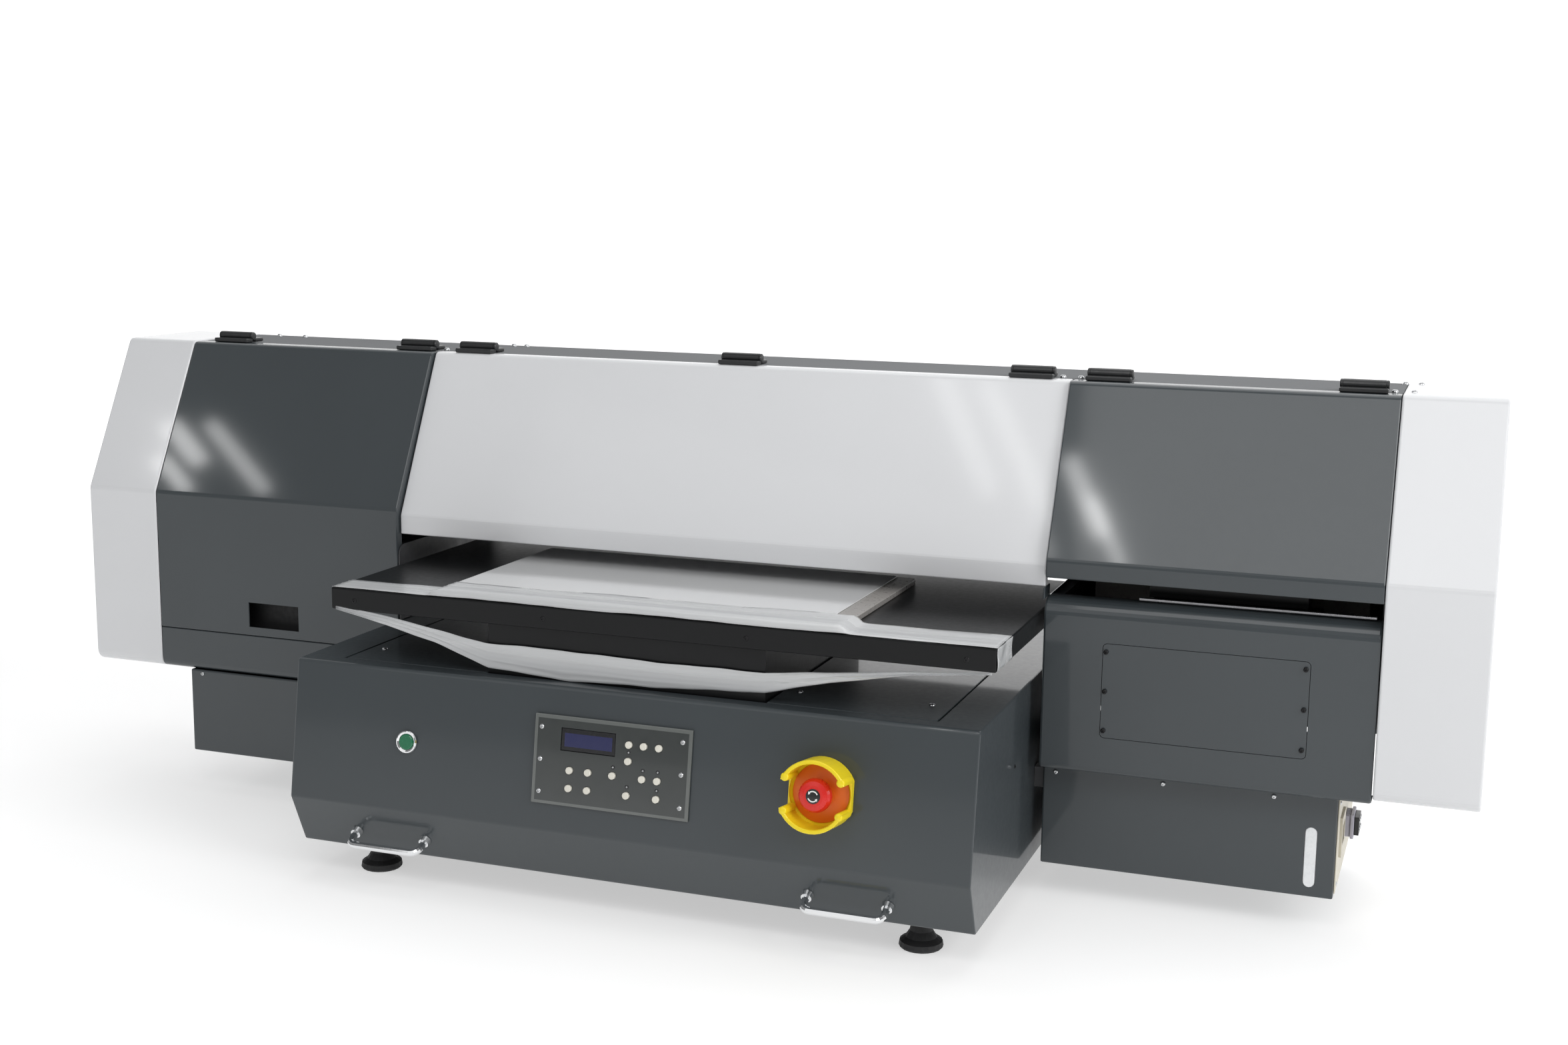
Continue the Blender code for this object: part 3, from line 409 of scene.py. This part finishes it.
# emergency stop: label disc round the collar, centre disc and two arrows on the head
bm = bmesh.new()
n_seg = 48
rings = []
eo = F(0.2671, 0.0)
a, u, v = basis(OUT)
for r, h in ((0.0116, 0.0032), (0.0345, 0.0032), (0.0345, 0.0040), (0.0342, 0.0042), (0.0116, 0.0042)):
    rings.append([bm.verts.new(eo + a * h + (u * math.cos(2 * math.pi * i / n_seg) + v * math.sin(2 * math.pi * i / n_seg)) * r)
                  for i in range(n_seg)])
for p, q in zip(rings, rings[1:] + rings[:1]):
    for i in range(n_seg):
        j = (i + 1) % n_seg
        bm.faces.new((p[i], p[j], q[j], q[i]))
put("estop_label_disc", bm, "orange", "frame")
bm = bmesh.new()
for sx in (-1, 1):
    for sz in (-1, 1):
        c = F(0.2671 + sx * 0.0338, sz * 0.0196)
        lathe_into(bm, c, OUT, [(0.0, 0.0060), (0.0050, 0.0060), (0.0050, 0.0380), (0.0045, 0.0393), (0.0034, 0.0400),
                                (0.0, 0.0402)], 24)
put("estop_guard_hooks", bm, "yellow", "frame", 40.0)
bm = bmesh.new()
lathe_into(bm, eo, OUT, [(0.0, 0.0324), (0.0086, 0.0322), (0.0086, 0.0333), (0.0080, 0.0336), (0.0, 0.0339)], 32)
put("estop_centre_disc", bm, "blackp", "estop_body")
bm = bmesh.new()
for base in (0.0, math.pi):
    pts = [(0.0052, 0.0066, base + math.radians(25 + 110 * i / 14)) for i in range(15)]
    lo = [[bm.verts.new(eo + a * h + (u * math.cos(t) + v * math.sin(t)) * r) for (r, h) in
           ((p[0], 0.0335), (p[1], 0.0335), (p[1], 0.0342), (p[0], 0.0342))] for p in pts for t in (p[2],)]
    for p, q in zip(lo, lo[1:]):
        for i in range(4):
            j = (i + 1) % 4
            bm.faces.new((p[i], p[j], q[j], q[i]))
    bm.faces.new(lo[0])
    bm.faces.new(list(reversed(lo[-1])))
    # arrow head at the end of the arc
    t0, t1 = base + math.radians(135), base + math.radians(162)
    tri = [(0.0042, t0), (0.0078, t0), (0.0059, t1)]
    lo_t = [bm.verts.new(eo + a * 0.0335 + (u * math.cos(t) + v * math.sin(t)) * r) for r, t in tri]
    hi_t = [bm.verts.new(eo + a * 0.0342 + (u * math.cos(t) + v * math.sin(t)) * r) for r, t in tri]
    bm.faces.new(lo_t)
    bm.faces.new(list(reversed(hi_t)))
    for i in range(3):
        j = (i + 1) % 3
        bm.faces.new((lo_t[i], lo_t[j], hi_t[j], hi_t[i]))
put("estop_arrows", bm, "white_plastic", "estop_body")

# --------------------------------------------------------------- base details
screws("top_plate_screws", [W(x, y, 0.2882) for x, y in
                            ((-0.374, 0.084), (-0.374, 0.640), (-0.212, 0.084), (-0.212, 0.640), (0.203, 0.086),
                             (0.203, 0.640), (0.368, 0.089), (0.368, 0.640))], UP, "zinc", r=0.0036, h=0.0020)
screws("base_side_screws", [W(0.4500, 0.175, 0.1985), W(0.4500, 0.640, 0.1985)], RIGHT, "black_oxide", r=0.0028,
       h=0.0010)
screws("base_left_screws", [W(-0.4500, 0.175, 0.1985), W(-0.4500, 0.640, 0.1985)], LEFT, "black_oxide", r=0.0028,
       h=0.0010)
bm = bmesh.new()
for sx in (-1, 1):
    for fy in (0.059, 0.690):
        p = W(sx * 0.370, fy, 0.0)
        lathe_into(bm, p, UP, [(0.0, 0.0302), (0.0098, 0.0302), (0.0102, 0.0308), (0.0102, 0.0362), (0.0098, 0.0368),
                               (0.0, 0.0368)], 24, {1: "hex", 2: "hex", 3: "hex", 4: "hex"})
put("foot_lock_nuts", bm, "zinc")

# ------------------------------------------------------------ gantry details
screws("access_panel_screws", [W(x, 0.2383, z) for x, z in
                               ((0.5437, 0.3360), (0.5437, 0.2865), (0.5437, 0.2370), (0.7805, 0.3370),
                                (0.7805, 0.2877), (0.7805, 0.2384))], FRONT, "black_oxide", r=0.0030, h=0.0016)
screws("right_lower_screws", [W(x, 0.2760, 0.1670) for x in (0.4796, 0.6144, 0.7488)], FRONT, "zinc", r=0.0032,
       h=0.0022)
screws("left_lower_screws", [W(x, 0.2393, 0.1790) for x in (-0.779, -0.484)], FRONT, "zinc", r=0.0030,
       h=0.0020)
screws("top_cover_screws", [W(x, 0.380, 0.6550) for x in (-0.834, -0.444, -0.417, 0.449, 0.472, 0.854, 0.876)] +
       [W(x, 0.490, 0.6550) for x in (-0.801, -0.755, -0.395, -0.374, 0.4745, 0.496, 0.861, 0.880)],
       UP, "zinc", r=0.0040, h=0.0036)

screws("rear_cover_screws", [W(x, 0.5500, z) for x in (-0.820, -0.560, 0.560, 0.840) for z in (0.215, 0.575)],
       BACK, "black_oxide", r=0.0032, h=0.0014)

HX = (-0.7926, -0.4830, -0.3873, 0.0130, 0.4123, 0.5111, 0.8190)
for i, hx in enumerate(HX):
    bm = bmesh.new()
    box_into(bm, (hx - 0.0255, hx + 0.0255), (0.3790, 0.3990), (0.6552, 0.6606))
    o = put("hinge_leaf_%d" % (i + 1), bm, "blackp", bevel=0.0016, seg=3)
    bm = bmesh.new()
    for s in (-1, 1):
        c = W(hx + s * 0.0254, 0.3715, 0.6640)
        lathe_into(bm, c, RIGHT * s, [(0.0, 0.0), (0.0060, 0.0), (0.0060, 0.0024), (0.0050, 0.0034), (0.0, 0.0036)], 24)
    put("hinge_knuckles_%d" % (i + 1), bm, "blackp")

# level tank behind its window
bm = bmesh.new()
box_into(bm, (0.7720, 0.8140), (0.2800, 0.3180), (0.0520, 0.1480))
put("waste_level_tank", bm, "tank", bevel=0.004, seg=3)
bm = bmesh.new()
cx, z0, z1, rr = 0.7950, 0.0574 + 0.0070, 0.1336 - 0.0070, 0.0070
outline = []
for k in range(13):
    t = math.pi * k / 12
    outline.append((cx + rr * math.cos(t), z1 + rr * math.sin(t)))
for k in range(13):
    t = math.pi + math.pi * k / 12
    outline.append((cx + rr * math.cos(t), z0 + rr * math.sin(t)))
layers = []
for y, k in ((0.2812, 1.0), (0.2768, 1.0), (0.2762, 0.90)):
    layers.append([bm.verts.new(W(cx + (x - cx) * k, y, (z0 + z1) / 2 + (z - (z0 + z1) / 2) * (k if k == 1 else 0.985)))
                   for x, z in outline])
for p, q in zip(layers, layers[1:]):
    for i in range(len(p)):
        j = (i + 1) % len(p)
        bm.faces.new((p[i], p[j], q[j], q[i]))
bm.faces.new(layers[0])
bm.faces.new(list(reversed(layers[-1])))
put("level_window", bm, "tank")

# wiper rod and inner panels of the capping opening
bm = bmesh.new()
lathe_into(bm, W(0.5777, 0.2620, 0.4004), RIGHT, [(0.0, 0.0), (0.0020, 0.0), (0.0025, 0.0004), (0.0025, 0.2779),
                                                   (0.0020, 0.2783), (0.0, 0.2783)], 20)
put("capping_rod", bm, "rod")

bm = bmesh.new()
box_into(bm, (0.4625, 0.4648), (0.2420, 0.2720), (0.3945, 0.4090))
put("throat_cheek", bm, "grey", bevel=0.0006, seg=2)
# inner walls behind the capping opening and the left window; the tray and the left window liner are near-black painted
# shade for the dark interior
bm = bmesh.new()
box_into(bm, (0.4870, 0.8600), (0.5300, 0.5320), (0.1960, 0.6120))
put("bay_back_panel", bm, "frame", bevel=0.0005, seg=1)
bm = bmesh.new()
box_into(bm, (0.4870, 0.8600), (0.2800, 0.5290), (0.3200, 0.3225))
put("bay_tray", bm, "painted_shade_black", bevel=0.0005, seg=1)
bm = bmesh.new()
box_into(bm, (0.8610, 0.8630), (0.2800, 0.5290), (0.3200, 0.4300))
box_into(bm, (0.8610, 0.8630), (0.3120, 0.5290), (0.4301, 0.5600))
box_into(bm, (0.8610, 0.8630), (0.3520, 0.5020), (0.5601, 0.6300))
put("bay_right_wall", bm, "frame", bevel=0.0005, seg=1)
bm = bmesh.new()
box_into(bm, (0.4960, 0.8400), (0.4050, 0.4070), (0.3550, 0.4020))
put("bay_inner_panel", bm, "board_under", bevel=0.0005, seg=1)
# painted shade: a near-black three-sided liner behind the left window so the inside reads dark
bm = bmesh.new()
box_into(bm, (-0.7600, -0.5400), (0.2660, 0.2680), (0.2150, 0.3400))
box_into(bm, (-0.7600, -0.7580), (0.2410, 0.2659), (0.2150, 0.3400))
box_into(bm, (-0.7579, -0.5400), (0.2410, 0.2659), (0.2150, 0.2170))
put("left_window_shade_liner", bm, "painted_shade_black", "left_lid_body")

# floor pans of the base and of the left bay (guessed)
bm = bmesh.new()
for x in ((-0.397, -0.181), (-0.139, 0.131), (0.173, 0.397)):
    box_into(bm, x, (0.0560, 0.6930), (0.0500, 0.0515))
put("base_floor_pans", bm, "frame")
bm = bmesh.new()
box_into(bm, (-0.8460, -0.8005), (0.2600, 0.5470), (0.1860, 0.1875))
put("left_bay_pan", bm, "frame")

# electrical inlet: black socket with three pins, and a terminal connector
bm = bmesh.new()
box_into(bm, (0.8130, 0.8150), (0.3155, 0.3465), (0.1025, 0.1275))
put("inlet_socket_floor", bm, "blackp")
bm = bmesh.new()
for y, z in ((0.331, 0.1205), (0.3235, 0.1105), (0.3385, 0.1105)):
    box_into(bm, (0.8145, 0.8235), (y - 0.001, y + 0.001), (z - 0.0028, z + 0.0028))
put("inlet_pins", bm, "brass", bevel=0.0003, seg=1)
bm = bmesh.new()
box_into(bm, (0.8263, 0.8312), (0.4050, 0.4400), (0.0860, 0.1130))
for k in range(6):
    box_into(bm, (0.8263, 0.8326), (0.4070 + 0.0056 * k, 0.4090 + 0.0056 * k), (0.0850, 0.1140))
put("terminal_connector", bm, "lilac", bevel=0.0004, seg=2)
bm = bmesh.new()
box_into(bm, (0.8327, 0.8370), (0.4030, 0.4420), (0.0836, 0.1155))
put("terminal_flange", bm, "lilac", bevel=0.0009, seg=2)
bm = bmesh.new()
box_into(bm, (0.8371, 0.8432), (0.4060, 0.4390), (0.0880, 0.1118))
put("terminal_plug", bm, "blackp", bevel=0.0006, seg=2)
screws("terminal_screws", [W(0.8432, y, z) for y in (0.4110, 0.4225, 0.4340) for z in (0.0940, 0.1060)], RIGHT,
       "zinc", r=0.0030, h=0.0012, form="cross")
screws("inlet_plate_screws", [W(0.8262, y, z) for y in (0.290, 0.532) for z in (0.062, 0.164)], RIGHT, "zinc",
       r=0.0026, h=0.0014, form="cross")

# ------------------------------------------------------------ table and media
screws("table_skirt_screws", [W(x, 0.0205, 0.3645) for x in (-0.3775, -0.1102, 0.1576, 0.4259)], FRONT,
       "black_oxide", "table", r=0.0032, h=0.0012)


def slab(name, x, y, z, key, body, radius, seg=6, bev=0.0008):
    bm = bmesh.new()
    pts = []
    for cxs, cys, a0 in ((x[1] - radius, y[1] - radius, 0), (x[0] + radius, y[1] - radius, 90),
                         (x[0] + radius, y[0] + radius, 180), (x[1] - radius, y[0] + radius, 270)):
        for k in range(seg + 1):
            t = math.radians(a0 + 90 * k / seg)
            pts.append((cxs + radius * math.cos(t), cys + radius * math.sin(t)))
    lo = [bm.verts.new(W(px, py, z[0])) for px, py in pts]
    hi = [bm.verts.new(W(px, py, z[1])) for px, py in pts]
    bm.faces.new(list(reversed(lo)))
    bm.faces.new(hi)
    for i in range(len(lo)):
        j = (i + 1) % len(lo)
        bm.faces.new((lo[i], lo[j], hi[j], hi[i]))
    return put(name, bm, key, body, 35.0, bev, 2)


slab("media_board", (-0.2620, 0.2720), (0.0300, 0.3430), (0.3798, 0.3868), "board_under", "table", 0.006)
slab("media_sheet", (-0.2605, 0.2465), (0.0310, 0.3415), (0.3870, 0.3880), "board", "table", 0.004, bev=0.0003)


# stretch film, upper band: over the table's front edge and down its right side
def film_noise(x, k):
    return (math.sin(x * 23.1 + k) + 0.6 * math.sin(x * 51.7 + 2.1 * k) + 0.35 * math.sin(x * 117.0 + 3.7 * k)) / 1.95


def film_sheet(name, rows, body="table"):
    """rows is a grid of points; the sheet gets a real 0.25 mm thickness."""
    bm = bmesh.new()
    g = [[bm.verts.new(p) for p in r] for r in rows]
    for a_, b_ in zip(g, g[1:]):
        for i in range(len(a_) - 1):
            bm.faces.new((a_[i], a_[i + 1], b_[i + 1], b_[i]))
    o = put(name, bm, "film", body, 60.0)
    md = o.modifiers.new("thick", "SOLIDIFY")
    md.thickness = 0.00025
    md.offset = 1.0
    return o


def on_top(x, y):
    """Height of the film over the table and board at machine x, y."""
    over = -0.2620 - 0.010 < x < 0.2720 + 0.010 and y > 0.0300 - 0.008
    if not over:
        return 0.3802
    e = min(1.0, max(0.0, min((x + 0.272) / 0.010, (0.282 - x) / 0.010, (y - 0.022) / 0.008)))
    return 0.3802 + 0.0083 * e


NX = 150
rows = []
for j in range(13):
    f = j / 12
    row = []
    for i in range(NX + 1):
        x = -0.4110 + (0.4610 + 0.4110) * i / NX
        y0 = 0.0215 + 0.0015 * (1 + film_noise(x, 0.4)) / 2
        back = 0.0700 + (0.0905 - 0.0700) * (i / NX) + 0.0035 * film_noise(x, 1.9)
        y = y0 + (back - y0) * f
        z = on_top(x, y) + 0.0006 * (1 + math.sin(x * 31 + f * 40)) / 2 + 0.0003 * film_noise(x + f, 5.0)
        row.append(W(x, y, z))
    rows.append(row)
o = film_sheet("film_top_band", rows)

rows = []
for j in range(9):
    f = j / 8
    row = []
    for i in range(25):
        y = 0.0215 + (0.0905 - 0.0215) * i / 24
        z = 0.3802 - (0.3802 - 0.3535) * f
        row.append(W(0.4612 + 0.0009 * (1 + math.sin(y * 160 + f * 6)) / 2, y, z))
    rows.append(row)
o = film_sheet("film_side_band", rows)

# lower band: from the table's left corner, across the saddle, to its right corner
keyx = (-0.4050, -0.3300, -0.2600, -0.1885, -0.0800, 0.0400, 0.1805, 0.2600, 0.3600, 0.4560)
ktop = (0.3560, 0.3490, 0.3380, 0.3270, 0.3262, 0.3250, 0.3240, 0.3330, 0.3440, 0.3520)
kbot = (0.3520, 0.3375, 0.3200, 0.2960, 0.2900, 0.2920, 0.3010, 0.3200, 0.3390, 0.3495)
kyy = (0.0220, 0.0225, 0.0232, 0.0240, 0.0238, 0.0238, 0.0240, 0.0234, 0.0226, 0.0220)


def lerp_keys(x, ks):
    for a_, b_, p, q in zip(keyx, keyx[1:], ks, ks[1:]):
        if x <= b_:
            t = (x - a_) / (b_ - a_)
            return p + (q - p) * t
    return ks[-1]


rows = []
for j in range(15):
    f = j / 14
    row = []
    for i in range(NX + 1):
        x = keyx[0] + (keyx[-1] - keyx[0]) * i / NX
        t, b_ = lerp_keys(x, ktop), lerp_keys(x, kbot)
        width = t - b_
        z = b_ + width * f + 0.0012 * film_noise(x, 7.0 + 3 * f) * min(1.0, width / 0.02)
        pleat = 0.0005 * math.sin(f * 17 + 1.5 * math.sin(x * 5)) + 0.0003 * math.sin(f * 37 + x * 7)
        row.append(W(x, lerp_keys(x, kyy) + pleat - 0.0016, z))
    rows.append(row)
o = film_sheet("film_lower_band", rows)

# --------------------------------------------------------------- floor, light
fl = bpy.data.meshes.new("floor")
bm = bmesh.new()
line = [(-9.0, 0.0), (3.2, 0.0)]
for k in range(1, 17):
    t = math.pi / 2 * k / 16
    line.append((3.2 + 1.8 * math.sin(t), 1.8 - 1.8 * math.cos(t)))
line.append((5.0, 9.0))
prev = None
for y, z in line:
    cur = (bm.verts.new((-12, y, z)), bm.verts.new((12, y, z)))
    if prev:
        bm.faces.new((prev[0], prev[1], cur[1], cur[0]))
    prev = cur
bm.to_mesh(fl)
bm.free()
fl.shade_smooth()
floor = bpy.data.objects.new("floor", fl)
bpy.context.scene.collection.objects.link(floor)
m, nt, b, co = new_mat("floor")
nt.links.new(tint(nt, noise(nt, co, 3.0, 2.0, 0.5), (0.58, 0.58, 0.58), (0.60, 0.60, 0.60)), b.inputs["Base Color"])
b.inputs["Roughness"].default_value = 0.8
b.inputs["Specular IOR Level"].default_value = 0.1
b.inputs["Emission Color"].default_value = (1.0, 1.0, 1.0, 1.0)
fs = nt.nodes.new("ShaderNodeSeparateXYZ")
nt.links.new(co.outputs["Object"], fs.inputs[0])
nt.links.new(ramp(nt, fs.outputs[1], 0.4, 3.0, 0.50, 0.86), b.inputs["Emission Strength"])
fl.materials.append(m)

world = bpy.data.worlds.new("studio")
bpy.context.scene.world = world
world.use_nodes = True
wt = world.node_tree
bg = wt.nodes["Background"]
bg.inputs["Color"].default_value = (0.985, 0.99, 1.0, 1.0)
wc = wt.nodes.new("ShaderNodeTexCoord")
ws = wt.nodes.new("ShaderNodeSeparateXYZ")
wt.links.new(wc.outputs["Generated"], ws.inputs[0])
# the room in front of the machine is dimmer than the backdrop behind it
back = ramp(wt, ws.outputs[1], -0.10, 0.35, 0.26, 0.85)
wt.links.new(back, bg.inputs["Strength"])
bpy.context.scene.view_settings.view_transform = "Standard"


def area_light(name, loc, target, size, energy, colour=(1, 1, 1), size_y=None):
    d = bpy.data.lights.new(name, "AREA")
    d.energy = energy
    d.color = colour
    if size_y:
        d.shape = "RECTANGLE"
        d.size_y = size_y
    d.size = size
    o = bpy.data.objects.new(name, d)
    o.location = loc
    o.rotation_euler = (Vector(target) - Vector(loc)).to_track_quat("-Z", "Y").to_euler()
    o.visible_camera = False
    bpy.context.scene.collection.objects.link(o)
    return o


area_light("key", (3.7, -1.5, 2.3), (0.2, 0, 0.3), 2.2, 84)
area_light("overhead", (0.3, 0.6, 3.2), (0, 0.1, 0.3), 2.6, 26)
area_light("fill", (-1.2, -3.6, 2.2), (-0.1, 0, 0.3), 2.4, 13)
# window panes that the sloping lids mirror: short and narrow, in leaning pairs
for k, (px, py, pz, w, h, e, lean) in enumerate((
        (-2.635, -1.798, 2.173, 0.055, 0.15, 0.55, 70), (-2.653, -1.845, 2.091, 0.045, 0.13, 0.40, 70),
        (-2.480, -1.848, 2.179, 0.045, 0.26, 0.55, 70), (-0.436, -2.098, 2.602, 0.055, 0.42, 0.55, 32),
        (-0.273, -2.152, 2.565, 0.055, 0.46, 0.60, 32), (-0.081, -2.184, 2.568, 0.050, 0.24, 0.75, 28),
        (-0.014, -2.246, 2.494, 0.035, 0.22, 0.45, 28))):
    o = area_light("window_%d" % k, (px, py, pz), (px * 0.3, -0.02, 0.55), w, e, size_y=h)
    o.rotation_euler = (o.rotation_euler.to_matrix() @ Matrix.Rotation(math.radians(lean), 3, "Z")).to_euler()
# broad dim pane mirrored by the right lid
area_light("right_pane", (0.72, -2.35, 2.58), (0.62, -0.02, 0.55), 1.70, 16.0, size_y=1.1)

# ---------------------------------------------------------------------- camera
yaw, pitch, roll = 0.3506, 0.1694, 0.012
d = Vector((-math.sin(yaw) * math.cos(pitch), math.cos(yaw) * math.cos(pitch), -math.sin(pitch)))
r0 = d.cross(Vector((0, 0, 1))).normalized()
u0 = r0.cross(d)
right = r0 * math.cos(roll) + u0 * math.sin(roll)
up = -r0 * math.sin(roll) + u0 * math.cos(roll)
cam_data = bpy.data.cameras.new("camera")
cam_data.sensor_width = 36.0
cam_data.lens = 2914.4 / 2352 * 36.0
cam = bpy.data.objects.new("camera", cam_data)
rot = Matrix((right, up, -d)).transposed()
cam.matrix_world = Matrix.Translation(Vector((0.95615, -2.40783, 0.8865))) @ rot.to_4x4()
bpy.context.scene.collection.objects.link(cam)
bpy.context.scene.camera = cam

bpy.context.view_layer.update()
